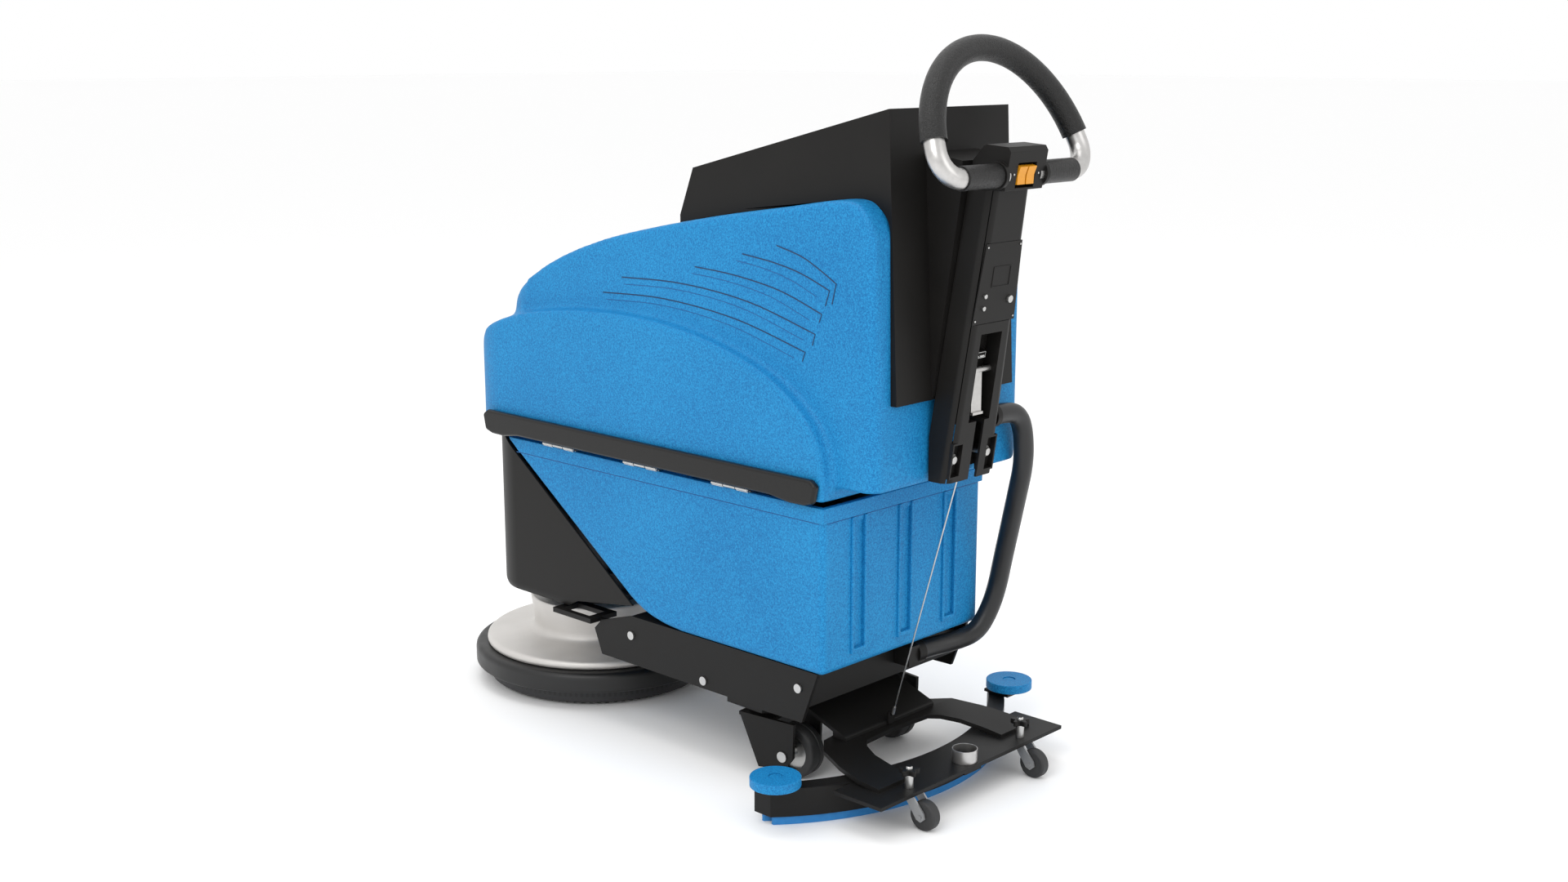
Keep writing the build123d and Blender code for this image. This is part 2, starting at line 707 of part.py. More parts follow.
with BuildPart() as column_fasteners:
    for x in (-40.6, 40.6):
        with BuildSketch(column_face.offset(-9)):
            with Locations((x, up_face(546))):
                Circle(9)
        extrude(amount=1.5)
        with BuildSketch(column_face.offset(-7.5)):
            with Locations((x, up_face(546))):
                Circle(6)
        extrude(amount=4)
        with BuildSketch(Plane.XZ.offset(-498)):
            with Locations((x, 546)):
                Circle(4)
        extrude(amount=40)
    with BuildSketch(column_face.offset(-0.3)):
        with Locations(
            (-45.5, up_face(759)), (45.5, up_face(759)), (-38.5, up_face(867)), (38.5, up_face(867)),
        ):
            Circle(1.6)
    extrude(amount=1.2)
    with BuildSketch(head_face):
        with Locations((-29, -2), (29, -2)):
            Circle(1.6)
    extrude(amount=1.2)
finish("column_fasteners", column_fasteners)

with BuildPart() as charge_meter:
    with BuildSketch(column_face.offset(-26)):
        with Locations((0, up_face(699))):
            Rectangle(32, 12)
    extrude(amount=9)
    with BuildSketch(column_face.offset(-17)):
        with Locations((0, up_face(699))):
            Rectangle(30, 9)
            Rectangle(28, 7, mode=Mode.SUBTRACT)
    extrude(amount=1)
finish("charge_meter", charge_meter)

# ---------------------------------------------------------------- handle
handle_plane = Plane(
    origin=(0, BAR_Y, BAR_Z), x_dir=(1, 0, 0),
    z_dir=(0, -1 / hypot(1, LEAN), -LEAN / hypot(1, LEAN)),
)
bend_x = sqrt((LOOP_R - BEND_R) ** 2 - (BEND_R - LOOP_UP) ** 2)
join = atan2(BEND_R - LOOP_UP, bend_x)
bend_mid = (join - pi / 2) / 2


def loop_point(angle):
    """Point of the loop's centre line, in the plane of the handle."""
    return (LOOP_R * cos(angle), LOOP_UP + LOOP_R * sin(angle))


with BuildPart() as handle_tube:
    with BuildLine(handle_plane) as tube_line:
        for sign in (1, -1):
            x_end, y_end = loop_point(join)
            Line((sign * 36, 0), (sign * bend_x, 0))
            ThreePointArc(
                (sign * bend_x, 0),
                (sign * (bend_x + BEND_R * cos(bend_mid)), BEND_R + BEND_R * sin(bend_mid)),
                (sign * x_end, y_end),
            )
        ThreePointArc(loop_point(join), loop_point(pi / 2), loop_point(pi - join))
    with BuildSketch(Plane(origin=(36, BAR_Y, BAR_Z), z_dir=(1, 0, 0))):
        Circle(TUBE_R)
        Circle(TUBE_R - 2, mode=Mode.SUBTRACT)
    sweep(path=tube_line.wires()[0])
finish("handle_tube", handle_tube)

GRIP_FROM = radians(12)
with BuildPart() as handle_grip:
    with BuildLine(handle_plane) as grip_line:
        ThreePointArc(loop_point(GRIP_FROM), loop_point(pi / 2), loop_point(pi - GRIP_FROM))
    with BuildSketch(Plane(origin=grip_line.line @ 0, z_dir=grip_line.line % 0)):
        Circle(GRIP_R)
        Circle(TUBE_R, mode=Mode.SUBTRACT)
    sweep()
finish("handle_grip", handle_grip)

for name, sign in (("left_bar_sleeve", 1), ("right_bar_sleeve", -1)):
    with BuildPart() as sleeve:
        with BuildSketch(side(sign * 52)):
            with Locations((BAR_Y, BAR_Z)):
                Circle(SLEEVE_R)
                Circle(TUBE_R, mode=Mode.SUBTRACT)
        extrude(amount=sign * 80)
    finish(name, sleeve)

# ---------------------------------------------------------------- squeegee lift
with BuildPart() as lift_lever:
    with BuildSketch(side(-30)):
        with Locations((LEVER_Y, LEVER_Z)):
            Circle(4.5)
    extrude(amount=60)
    with Locations((9, LEVER_Y + 2, LEVER_Z - 33)):
        Box(24, 3, 66)
    with Locations((9, LEVER_Y + 3, LEVER_Z - 64)):
        Box(24, 8, 4)
finish("lift_lever", lift_lever)

CABLE_TOP = (18.0, 490.0, 512.0)
cable_run = [CABLE_TOP[i] - EYELET[i] for i in range(3)]
with BuildPart() as lift_cable:
    with BuildSketch(Plane(origin=EYELET, z_dir=cable_run)):
        Circle(1.2)
    extrude(amount=hypot(*cable_run))
    with BuildSketch(Plane(origin=EYELET, z_dir=cable_run)):
        Circle(2.6)
    extrude(amount=14)
finish("lift_cable", lift_cable)

# ---------------------------------------------------------------- drain hose
HOSE_R = 16.0
hose_route = [
    (-74, 487, 597), (-112, 487, 597), (-148, 488, 584), (-168, 484, 550), (-180, 474, 497),
    (-188, 456, 442), (-196, 437, 385), (-202, 419, 330), (-202, 407, 278), (-192, 399, 237),
    (-170, 391, 203), (-138, 371, 191), (-100, 358, 189), (-66, 355, 189),
]


def corner_radii(route):
    """As large an arc at each inner point as its two runs allow."""
    found = []
    for before, here, after in zip(route, route[1:], route[2:]):
        a = Vector(*here) - Vector(*before)
        b = Vector(*after) - Vector(*here)
        half_turn = radians(a.get_angle(b)) / 2
        found.append(0.45 * min(a.length, b.length) / tan(half_turn))
    return found


hose_radii = corner_radii(hose_route)
with BuildPart() as drain_hose:
    with BuildLine() as hose_line:
        FilletPolyline(*hose_route, radius=hose_radii)
    with BuildSketch(Plane(origin=hose_route[0], z_dir=hose_line.line % 0)):
        Circle(HOSE_R)
    sweep()
finish("drain_hose", drain_hose)

with BuildPart() as hose_elbow:
    with BuildSketch(side(-74)):
        with Locations((487, 597)):
            Circle(18)
    extrude(amount=12)
    with Locations((-68, 476.5, 597)):
        Box(12, 21, 30)
    add(upper_body.part, mode=Mode.SUBTRACT)
finish("hose_elbow", hose_elbow)

hose_end = Plane(origin=hose_route[-1], z_dir=Vector(*hose_route[-1]) - Vector(*hose_route[-2]))
with BuildPart() as drain_valve:
    with BuildSketch(hose_end):
        Circle(18)
    extrude(amount=16)
    with Locations((-38, 351, 189)):
        Box(26, 32, 32)
    with BuildSketch(Plane.XY.offset(203)):
        with Locations((-38, 344.5)):
            Circle(9)
    extrude(amount=6)
finish("drain_valve", drain_valve)

# ---------------------------------------------------------------- squeegee
with BuildPart() as squeegee_arm:
    with BuildSketch(side(-110)):
        with BuildLine():
            Polyline(
                (266, 110.5), (343, 83.5), (344, 80.4), (351, 80.4), (351, 85.5), (347, 89), (266, 117.5),
                close=True,
            )
        make_face()
    extrude(amount=220)
    with Locations((0, 261, 114)):
        Box(124, 12, 7)
    with BuildSketch(side(-62)):
        with Locations(ARM_PIVOT):
            Circle(9)
    extrude(amount=124)
    with BuildSketch(side(-63)):
        with Locations(ARM_PIVOT):
            Circle(5.05)
    extrude(amount=126, mode=Mode.SUBTRACT)
    with BuildSketch(Plane.XZ.offset(-354)):
        with Locations((2, 92.5)):
            RectangleRounded(15, 23, 5)
        with Locations((EYELET[0], EYELET[2])):
            Circle(4, mode=Mode.SUBTRACT)
    extrude(amount=3)
finish("squeegee_arm", squeegee_arm)

CHANNEL_FRONT, CHANNEL_BACK, CHANNEL_HALF = 440.0, 474.0, 290.0
PLATE_TOP, RING_TOP = 59.0, 80.0
STUDS = ((-140, 505.5), (140, 505.5))
SPIGOT_Y = 502.0
ROLLERS = ((-291, 371.5), (291, 371.5))
with BuildPart() as squeegee_casting:
    with BuildSketch(Plane.XY.offset(14)):
        crescent(CHANNEL_FRONT, CHANNEL_BACK, CHANNEL_HALF)
    extrude(amount=PLATE_TOP - 14)
    with BuildSketch(Plane.XY.offset(14)):
        crescent(CHANNEL_FRONT + 5, CHANNEL_BACK - 5, CHANNEL_HALF - 4)
    extrude(amount=PLATE_TOP - 20, mode=Mode.SUBTRACT)
    with BuildSketch(Plane.XY.offset(PLATE_TOP - 6)):
        with Locations((0, 487)):
            Rectangle(456, 77)
        with Locations((-189, 445), (189, 445)):
            Rectangle(78, 27)
    extrude(amount=6)
    with BuildSketch(Plane.XY.offset(PLATE_TOP)):
        with BuildLine():
            Polyline(
                (0, 318), (104, 318), (128, 321), (160, 350), (180, 400), (190, 445), (190, 488),
                (114, 488), (113, 455), (106, 409), (92, 380), (76, 367), (0, 363), close=True,
            )
        make_face()
        mirror(about=Plane.YZ)
    extrude(amount=RING_TOP - PLATE_TOP)
    for sheet in (
        [(300, 81), (350, 81), (350, RING_TOP), (489, 65), (489, 90), (300, 90)],
        [(300, PLATE_TOP), (300, 73), (350, 73), (474, PLATE_TOP)],
    ):
        with BuildSketch(side(-200)):
            with BuildLine():
                Polyline(*sheet, close=True)
            make_face()
        extrude(amount=400, mode=Mode.SUBTRACT)
    with BuildSketch(side(-108)):
        with BuildLine():
            Polyline((322, 79), (322, 90.7), (342.9, 83.3), (343.8, 79), close=True)
        make_face()
    extrude(amount=216)
    with Locations(*[(x, y, PLATE_TOP) for x, y in STUDS]):
        Cylinder(6.5, 21, align=(Align.CENTER, Align.CENTER, Align.MIN))
        Cylinder(4.0, 35, align=(Align.CENTER, Align.CENTER, Align.MIN))
    for x, y in ROLLERS:
        with Locations((x * 0.98, y - 12, PLATE_TOP + 2.5)):
            Box(30, 50, 5)
        with Locations((x, y, PLATE_TOP)):
            Cylinder(12, 10.7, align=(Align.CENTER, Align.CENTER, Align.MIN))
            Cylinder(6, 24, align=(Align.CENTER, Align.CENTER, Align.MIN))
    with BuildSketch(Plane.XY.offset(47)):
        with Locations((0, 495)):
            Rectangle(42, 48)
            Rectangle(36, 42, mode=Mode.SUBTRACT)
    extrude(amount=7)
    with Locations((0, 495, 46)):
        Box(42, 48, 2)
    with BuildSketch(Plane.XY.offset(47)):
        with Locations((0, SPIGOT_Y)):
            Circle(16)
    extrude(amount=20, mode=Mode.SUBTRACT)
    with Locations((0, 474, 50)):
        Box(36, 16, 6, mode=Mode.SUBTRACT)
finish("squeegee_casting", squeegee_casting)

for name, y_front in (("front_blade", CHANNEL_FRONT + 5), ("rear_blade", CHANNEL_BACK - 9)):
    with BuildPart() as blade:
        with BuildSketch():
            crescent(y_front, y_front + 4, BLADE_HALF)
        extrude(amount=46)
    finish(name, blade)

with BuildPart() as suction_stub:
    with BuildSketch(Plane.XY.offset(PLATE_TOP)):
        with Locations((0, SPIGOT_Y)):
            Circle(20.2)
            Circle(18.8, mode=Mode.SUBTRACT)
    extrude(amount=21)
finish("suction_stub", suction_stub)

SUPPORT_X, SUPPORT_Y, SUPPORT_R = 138.5, 536.5, 23.3
with BuildPart() as support_wheel_brackets:
    for x in (-SUPPORT_X, SUPPORT_X):
        for dx in (-13, 10):
            with BuildSketch(side(x + dx)):
                with BuildLine():
                    Polyline(
                        (503, 53), (522, 53), (543, 30), (545, 22), (537, 15), (529, 18),
                        close=True,
                    )
                make_face()
            extrude(amount=3)
        with Locations((x, 512, 51.5)):
            Box(26, 18, 3)
        with BuildSketch(side(x - 15)):
            with Locations((SUPPORT_Y, SUPPORT_R)):
                Circle(3)
        extrude(amount=30)
finish("support_wheel_brackets", support_wheel_brackets)

for name, x in (("left_support_wheel", SUPPORT_X), ("right_support_wheel", -SUPPORT_X)):
    with BuildPart() as wheel:
        with BuildSketch(side(x - 9)):
            with Locations((SUPPORT_Y, SUPPORT_R)):
                Circle(SUPPORT_R)
                Circle(3.05, mode=Mode.SUBTRACT)
        extrude(amount=18)
        fillet(wheel.edges().filter_by(GeomType.CIRCLE).sort_by(SortBy.LENGTH)[-2:], 4)
    finish(name, wheel)

for name, sign in (("left_bumper_roller", 1), ("right_bumper_roller", -1)):
    with BuildPart() as roller:
        with BuildSketch(Plane.XY.offset(70)):
            with Locations((sign * 291, 371.5)):
                Circle(39)
                Circle(6.05, mode=Mode.SUBTRACT)
        extrude(amount=15)
        with BuildSketch(Plane.XY.offset(82)):
            with Locations((sign * 291, 371.5)):
                Circle(11)
        extrude(amount=5, mode=Mode.SUBTRACT)
        fillet(roller.edges().filter_by(GeomType.CIRCLE).sort_by(SortBy.LENGTH)[-2:], 1.5)
    finish(name, roller)

for name, sign in (("left_star_knob", 1), ("right_star_knob", -1)):
    with BuildPart() as knob:
        with BuildSketch(Plane.XY.offset(RING_TOP + FLUSH)):
            with Locations((sign * 140, 505.5)):
                Circle(11)
                with PolarLocations(12, 5):
                    Circle(4.5)
                Circle(4.05, mode=Mode.SUBTRACT)
        extrude(amount=9)
        with BuildSketch(Plane.XY.offset(RING_TOP + 9)):
            with Locations((sign * 140, 505.5)):
                RegularPolygon(7, 6)
                Circle(4.05, mode=Mode.SUBTRACT)
        extrude(amount=5)
    finish(name, knob)
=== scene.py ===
import json
from math import atan2, cos, pi, radians, sin, sqrt

import bmesh
import bpy
from mathutils import Matrix, Vector
from mathutils.bvhtree import BVHTree


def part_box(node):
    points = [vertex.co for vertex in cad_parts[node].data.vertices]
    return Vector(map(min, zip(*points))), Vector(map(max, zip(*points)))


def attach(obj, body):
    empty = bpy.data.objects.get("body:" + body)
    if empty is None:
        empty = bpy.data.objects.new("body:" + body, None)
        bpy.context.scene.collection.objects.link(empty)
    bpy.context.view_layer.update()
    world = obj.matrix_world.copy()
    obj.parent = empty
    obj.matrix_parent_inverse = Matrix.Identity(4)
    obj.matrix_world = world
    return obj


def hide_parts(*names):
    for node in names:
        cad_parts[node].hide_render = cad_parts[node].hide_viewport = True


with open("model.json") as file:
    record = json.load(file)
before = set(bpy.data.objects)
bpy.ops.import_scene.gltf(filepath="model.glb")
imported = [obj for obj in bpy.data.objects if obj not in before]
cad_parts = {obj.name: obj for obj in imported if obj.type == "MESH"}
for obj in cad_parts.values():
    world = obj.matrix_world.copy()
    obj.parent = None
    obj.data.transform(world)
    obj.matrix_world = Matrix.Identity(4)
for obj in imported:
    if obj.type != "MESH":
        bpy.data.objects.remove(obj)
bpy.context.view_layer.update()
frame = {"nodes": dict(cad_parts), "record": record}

# ---------------------------------------------------------------- camera, floor and light
# A studio sweep in near white with broad soft lamps, seen from the machine's left rear at about
# the height of its handle.
camera = bpy.data.objects.new("camera", bpy.data.cameras.new("camera"))
bpy.context.collection.objects.link(camera)
camera.location = (2.11535, 2.11766, 1.14967)
camera.rotation_euler = (Vector((0, 0.1135, 0.5114)) - camera.location).to_track_quat("-Z", "Y").to_euler()
camera.data.lens = 41.43
camera.data.sensor_width = 36
bpy.context.scene.camera = camera
bpy.context.scene.view_settings.view_transform = "Standard"

studio = bpy.data.worlds.new("studio")
bpy.context.scene.world = studio
studio.use_nodes = True
studio.node_tree.nodes["Background"].inputs[0].default_value = (1, 1, 1, 1)
studio.node_tree.nodes["Background"].inputs[1].default_value = 1.0

for name, place, aim, width, power in (
        ("key", (3.2, 1.2, 2.9), (0, 0, 0.5), 2.2, 52),
        ("rear_fill", (-0.6, 4.2, 1.9), (0, 0.2, 0.6), 2.4, 24),
        ("top", (0.2, -0.4, 3.6), (0, 0, 0.5), 2.6, 34)):
    lamp = bpy.data.objects.new(name, bpy.data.lights.new(name, "AREA"))
    bpy.context.collection.objects.link(lamp)
    lamp.data.energy = power
    lamp.data.size = width
    lamp.location = place
    lamp.rotation_euler = (Vector(aim) - lamp.location).to_track_quat("-Z", "Y").to_euler()


class Socket:
    """A value or colour inside a material, with arithmetic written the usual way."""

    def __init__(self, finish, socket):
        self.finish, self.socket = finish, socket

    def maths(self, operation, *values):
        return self.finish.node("ShaderNodeMath", {"operation": operation}, values)

    def __add__(self, other):
        return self.maths("ADD", self, other)

    def __sub__(self, other):
        return self.maths("SUBTRACT", self, other)

    def __mul__(self, other):
        return self.maths("MULTIPLY", self, other)

    def __rsub__(self, other):
        return self.maths("SUBTRACT", other, self)

    __radd__, __rmul__ = __add__, __mul__


class Finish:
    """One surface finish: a material whose nodes are added by name."""

    def __init__(self, name, **fixed):
        self.material = bpy.data.materials.new(name)
        self.material.use_nodes = True
        self.tree = self.material.node_tree
        self.shader = self.tree.nodes["Principled BSDF"]
        self.place = self.node("ShaderNodeTexCoord", out="Object")
        self.wear(**fixed)

    def node(self, kind, settings=None, values=(), out=0):
        made = self.tree.nodes.new(kind)
        for key, value in (settings or {}).items():
            if key == "stops":
                for stop, (at, tone) in zip(made.color_ramp.elements, value):
                    stop.position, stop.color = at, tone
            else:
                setattr(made, key, value)
        pairs = values.items() if isinstance(values, dict) else enumerate(values)
        for key, value in pairs:
            if isinstance(value, Socket):
                self.tree.links.new(value.socket, made.inputs[key])
            else:
                made.inputs[key].default_value = value
        return Socket(self, made.outputs[out])

    def wear(self, **sockets):
        """Sets the shader's own sockets: base_color=..., roughness=... ."""
        for key, value in sockets.items():
            socket = self.shader.inputs[key.replace("_", " ").title().replace("Ior", "IOR")]
            if isinstance(value, Socket):
                self.tree.links.new(value.socket, socket)
            else:
                socket.default_value = value
        return self

    def noise(self, scale, detail=2.0, roughness=0.5):
        return self.node("ShaderNodeTexNoise", {}, {
            "Vector": self.place, "Scale": scale, "Detail": detail, "Roughness": roughness})

    def between(self, share, low, high):
        """A colour between two, by a share from 0 to 1."""
        return self.node("ShaderNodeMix", {"data_type": "RGBA"}, {0: share, 6: low, 7: high}, out=2)

    def steps(self, value, low, high):
        """A value stretched so that low becomes 0 and high 1."""
        return self.node("ShaderNodeMapRange", {}, {0: value, 1: low, 2: high})

    def bumps(self, height, strength, depth):
        return self.node("ShaderNodeBump", {}, {
            "Strength": strength, "Distance": depth, "Height": height})


floor_finish = Finish("floor_finish", base_color=(0.985, 0.985, 0.985, 1), roughness=0.9)
floor_bm = bmesh.new()
bmesh.ops.create_grid(floor_bm, x_segments=2, y_segments=2, size=60)
floor_mesh = bpy.data.meshes.new("floor")
floor_bm.to_mesh(floor_mesh)
floor = bpy.data.objects.new("floor", floor_mesh)
bpy.context.collection.objects.link(floor)
floor_mesh.materials.append(floor_finish.material)

# ---------------------------------------------------------------- drain hose
# A smooth black rubber hose of 32 mm that empties the recovery tank. It is pushed on the elbow
# behind the column, bows out past the tank's rear corner and is clipped in the valve below.
hose_route = [
    (-0.074, 0.487, 0.597), (-0.108, 0.487, 0.597), (-0.136, 0.488, 0.588), (-0.152, 0.487, 0.558),
    (-0.162, 0.482, 0.505), (-0.176, 0.460, 0.446), (-0.190, 0.438, 0.387), (-0.198, 0.420, 0.330),
    (-0.202, 0.407, 0.278), (-0.192, 0.399, 0.237), (-0.170, 0.391, 0.203), (-0.138, 0.371, 0.191),
    (-0.100, 0.358, 0.189), (-0.066, 0.355, 0.189),
]
hose_rubber = Finish("hose_rubber", specular_ior_level=0.45)
hose_dust = hose_rubber.noise(28, 3)
hose_rubber.wear(
    base_color=hose_rubber.between(hose_dust, (0.007, 0.007, 0.0075, 1), (0.013, 0.013, 0.0135, 1)),
    roughness=hose_rubber.steps(hose_dust, 0.2, 1.6) * 0.4 + 0.3,
    normal=hose_rubber.bumps(hose_rubber.noise(700), 0.12, 0.0004))
hose_line = bpy.data.curves.new("drain_hose_line", "CURVE")
hose_line.dimensions = "3D"
hose_spline = hose_line.splines.new("NURBS")
hose_spline.points.add(len(hose_route) - 1)
for point, at in zip(hose_spline.points, hose_route):
    point.co = (*at, 1)
hose_spline.order_u = 3
hose_spline.use_endpoint_u = True
hose_spline.resolution_u = 12
hose_line.bevel_depth = 0.016
hose_line.bevel_resolution = 10
hose_line.use_fill_caps = True
hose_line.materials.append(hose_rubber.material)
drain_hose = bpy.data.objects.new("drain_hose_skin", hose_line)
bpy.context.collection.objects.link(drain_hose)
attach(drain_hose, "chassis")
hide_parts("drain_hose")

# ---------------------------------------------------------------- frame
# Two laser-cut side plates, a folded deck and a box beam for the casters, bolted together and
# powder coated black. Every cut edge is broken a little.
powder_coat = Finish("powder_coat", specular_ior_level=0.2)
coat_cloud = powder_coat.noise(6, 3)
powder_coat.wear(
    base_color=powder_coat.between(coat_cloud, (0.0052, 0.0049, 0.0046, 1), (0.0095, 0.009, 0.0085, 1)),
    roughness=coat_cloud * 0.14 + 0.4,
    normal=powder_coat.bumps(powder_coat.noise(1300, 1), 0.1, 0.0003))


def softened(bm, edge, crease=20, segments=4):
    """Rolls over every edge of a bmesh that is sharper than crease."""
    sharp = [e for e in bm.edges if len(e.link_faces) == 2 and e.calc_face_angle() > radians(crease)]
    bmesh.ops.bevel(bm, geom=sharp, offset=edge, affect="EDGES", segments=segments, profile=0.5,
                    material=-1, clamp_overlap=True)
    return bm


def dressed(node, finish, edge=0.0008, crease=30, segments=2):
    """The node's own shape with broken edges and smooth rounds, in a finish."""
    bm = bmesh.new()
    bm.from_mesh(frame["nodes"][node].data)
    bmesh.ops.remove_doubles(bm, verts=bm.verts, dist=0.00002)
    bmesh.ops.dissolve_limit(bm, angle_limit=radians(0.6), verts=bm.verts, edges=bm.edges)
    if edge:
        softened(bm, edge, crease, segments)
    return settled(bm, node + "_skin", finish, body_of_node[node], node, crease=crease)


def settled(bm, name, finish, body, *nodes, crease=30, slot=None):
    """Turns a finished bmesh into a piece that rides on a body and replaces CAD nodes."""
    for face in bm.faces:
        face.smooth = True
    mesh = bpy.data.meshes.new(name)
    bm.to_mesh(mesh)
    bm.free()
    mesh.set_sharp_from_angle(angle=radians(crease))
    mesh.materials.append(finish.material)
    piece = bpy.data.objects.new(name, mesh)
    bpy.context.collection.objects.link(piece)
    weighted = piece.modifiers.new("weighted", "WEIGHTED_NORMAL")
    weighted.keep_sharp = True
    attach(piece, body)
    if nodes:
        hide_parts(*nodes)
    return piece


body_of_node = {node: body for body, nodes in frame["record"]["behaviour"]["bodies"].items()
                for node in nodes}

for plate in ("left_rail", "right_rail", "frame_deck", "deck_brackets"):
    dressed(plate, powder_coat)

# ---------------------------------------------------------------- bright fastenings
# Zinc-plated bolts, pins and axles, turned and slightly dulled.
zinc = Finish("zinc", metallic=1.0)
zinc_blotch = zinc.noise(60, 3)
zinc.wear(
    base_color=zinc.between(zinc_blotch, (0.40, 0.40, 0.395, 1), (0.62, 0.615, 0.60, 1)),
    roughness=zinc_blotch * 0.25 + 0.22,
    normal=zinc.bumps(zinc.noise(900, 2), 0.08, 0.0002))
for bright in ("rail_bolts", "arm_rod", "hinge_pins", "left_caster_axle", "right_caster_axle",
               "column_fasteners"):
    dressed(bright, zinc, edge=0.0006)

# ---------------------------------------------------------------- brush deck
# A sand-cast aluminium dome over the brush, bolted under the gear motor, with a moulded rubber
# splash skirt round its rim. Below it hangs the disc brush, with a smooth rubber rim round its
# tufts of black nylon.
cast_aluminium = Finish("cast_aluminium", metallic=0.55, specular_ior_level=0.5)
cast_grain = cast_aluminium.noise(420, 3, 0.6)
cast_cloud = cast_aluminium.noise(12, 2)
cast_aluminium.wear(
    base_color=cast_aluminium.between(cast_cloud, (0.54, 0.52, 0.495, 1), (0.70, 0.68, 0.655, 1)),
    roughness=cast_grain * 0.2 + 0.42,
    normal=cast_aluminium.bumps(cast_grain, 0.35, 0.0006))
skirt_rubber = Finish("skirt_rubber", base_color=(0.0058, 0.0057, 0.0057, 1))
skirt_rubber.wear(
    roughness=skirt_rubber.noise(30, 3) * 0.2 + 0.36,
    normal=skirt_rubber.bumps(skirt_rubber.noise(500), 0.06, 0.0003))
brush_axis = Vector((0, -0.3635, 0))


def turned(profile, axis_at, axis=(0, 0, 1), steps=96, start=None):
    """A bmesh of revolution: profile is a closed list of (radius, height) in metres."""
    bm = bmesh.new()
    out = start or Vector((1, 0, 0))
    ring = [bm.verts.new(Vector(axis_at) + out * r + Vector(axis) * h) for r, h in profile]
    edges = [bm.edges.new((a, b)) for a, b in zip(ring, ring[1:] + ring[:1])]
    bmesh.ops.spin(bm, geom=ring + edges, cent=axis_at, axis=axis, angle=2 * pi, steps=steps,
                   use_merge=True, use_duplicate=False)
    bmesh.ops.recalc_face_normals(bm, faces=bm.faces)
    return bm


dome = [(0.060, 0.152), (0.116, 0.152), (0.112, 0.12), (0.109, 0.092), (0.146, 0.081), (0.198, 0.078),
        (0.198, 0.069), (0.205, 0.069), (0.2078, 0.0715), (0.2085, 0.0755), (0.2075, 0.080),
        (0.2045, 0.0828), (0.200, 0.0842), (0.190, 0.0852), (0.150, 0.0875), (0.132, 0.0895),
        (0.1245, 0.0935), (0.121, 0.100), (0.1205, 0.108), (0.1225, 0.125), (0.1255, 0.146),
        (0.1265, 0.152), (0.126, 0.156), (0.124, 0.158), (0.060, 0.158)]
settled(turned(dome, brush_axis, steps=128), "brush_dome", cast_aluminium, "chassis", "brush_housing",
        crease=50)
skirt = [(0.196, 0.0625), (0.222, 0.0625), (0.2232, 0.060), (0.2232, 0.036), (0.2245, 0.0342),
         (0.2285, 0.0342), (0.2298, 0.0355), (0.230, 0.038), (0.230, 0.058), (0.2293, 0.0625),
         (0.2272, 0.0658), (0.224, 0.0679), (0.220, 0.0686), (0.196, 0.0686)]
settled(turned(skirt, brush_axis, steps=128), "splash_skirt", skirt_rubber, "chassis", "brush_skirt",
        crease=50)

motor_paint = Finish("motor_paint", base_color=(0.02, 0.02, 0.022, 1))
motor_paint.wear(roughness=motor_paint.noise(40) * 0.2 + 0.4)
dressed("brush_gearmotor", motor_paint, edge=0.002, segments=3)
nylon_block = Finish("nylon_block", base_color=(0.018, 0.018, 0.02, 1))
nylon_block.wear(roughness=nylon_block.noise(90) * 0.2 + 0.45)
dressed("brush_driver", nylon_block, edge=0.0015)

bristle_nylon = Finish("bristle_nylon")
strand = bristle_nylon.noise(800, 2)
bristle_nylon.wear(
    base_color=bristle_nylon.between(strand, (0.008, 0.008, 0.009, 1), (0.03, 0.03, 0.032, 1)),
    roughness=strand * 0.3 + 0.4)
tufts = bmesh.new()
for ring_at, count in ((0.076, 34), (0.098, 42), (0.120, 52), (0.142, 62), (0.164, 70), (0.182, 80)):
    for k in range(count):
        turn = 2 * pi * k / count + ring_at * 40
        made = bmesh.ops.create_cone(tufts, cap_ends=True, segments=6, radius1=0.0052, radius2=0.0040,
                                     depth=0.0088)
        tuft_at = brush_axis + Vector((cos(turn) * ring_at, sin(turn) * ring_at, 0.0044))
        bmesh.ops.translate(tufts, vec=tuft_at, verts=made["verts"])
rim = [(0.150, 0.036), (0.2035, 0.036), (0.205, 0.034), (0.205, 0.018), (0.2035, 0.0095),
       (0.199, 0.0055), (0.191, 0.0045), (0.150, 0.0045)]
settled(turned(rim, brush_axis, steps=128), "brush_rim", skirt_rubber, "brush", crease=40,
        slot="black_shell")
settled(tufts, "bristle_tufts", bristle_nylon, "brush", "brush_bristles", crease=40)

# ---------------------------------------------------------------- casters
# Pressed steel forks on a swivel collar, each with a solid black tyre on a nylon hub.
for side in ("left", "right"):
    dressed(f"{side}_caster_fork", powder_coat, edge=0.0012)
tyre_rubber = Finish("tyre_rubber")
tyre_dust = tyre_rubber.noise(45, 4)
tyre_rubber.wear(
    base_color=tyre_rubber.between(tyre_dust, (0.012, 0.012, 0.013, 1), (0.03, 0.03, 0.03, 1)),
    roughness=tyre_dust * 0.3 + 0.45,
    normal=tyre_rubber.bumps(tyre_rubber.noise(600), 0.12, 0.0004))
trail, hub_high, splay = 0.060, 0.044, radians(7)
tyre = [(0.029, -0.017), (0.0400, -0.017), (0.0425, -0.0155), (0.0438, -0.012), (0.0440, -0.004),
        (0.0428, -0.0030), (0.0428, 0.0030), (0.0440, 0.004), (0.0438, 0.012), (0.0425, 0.0155),
        (0.0400, 0.017), (0.029, 0.017)]
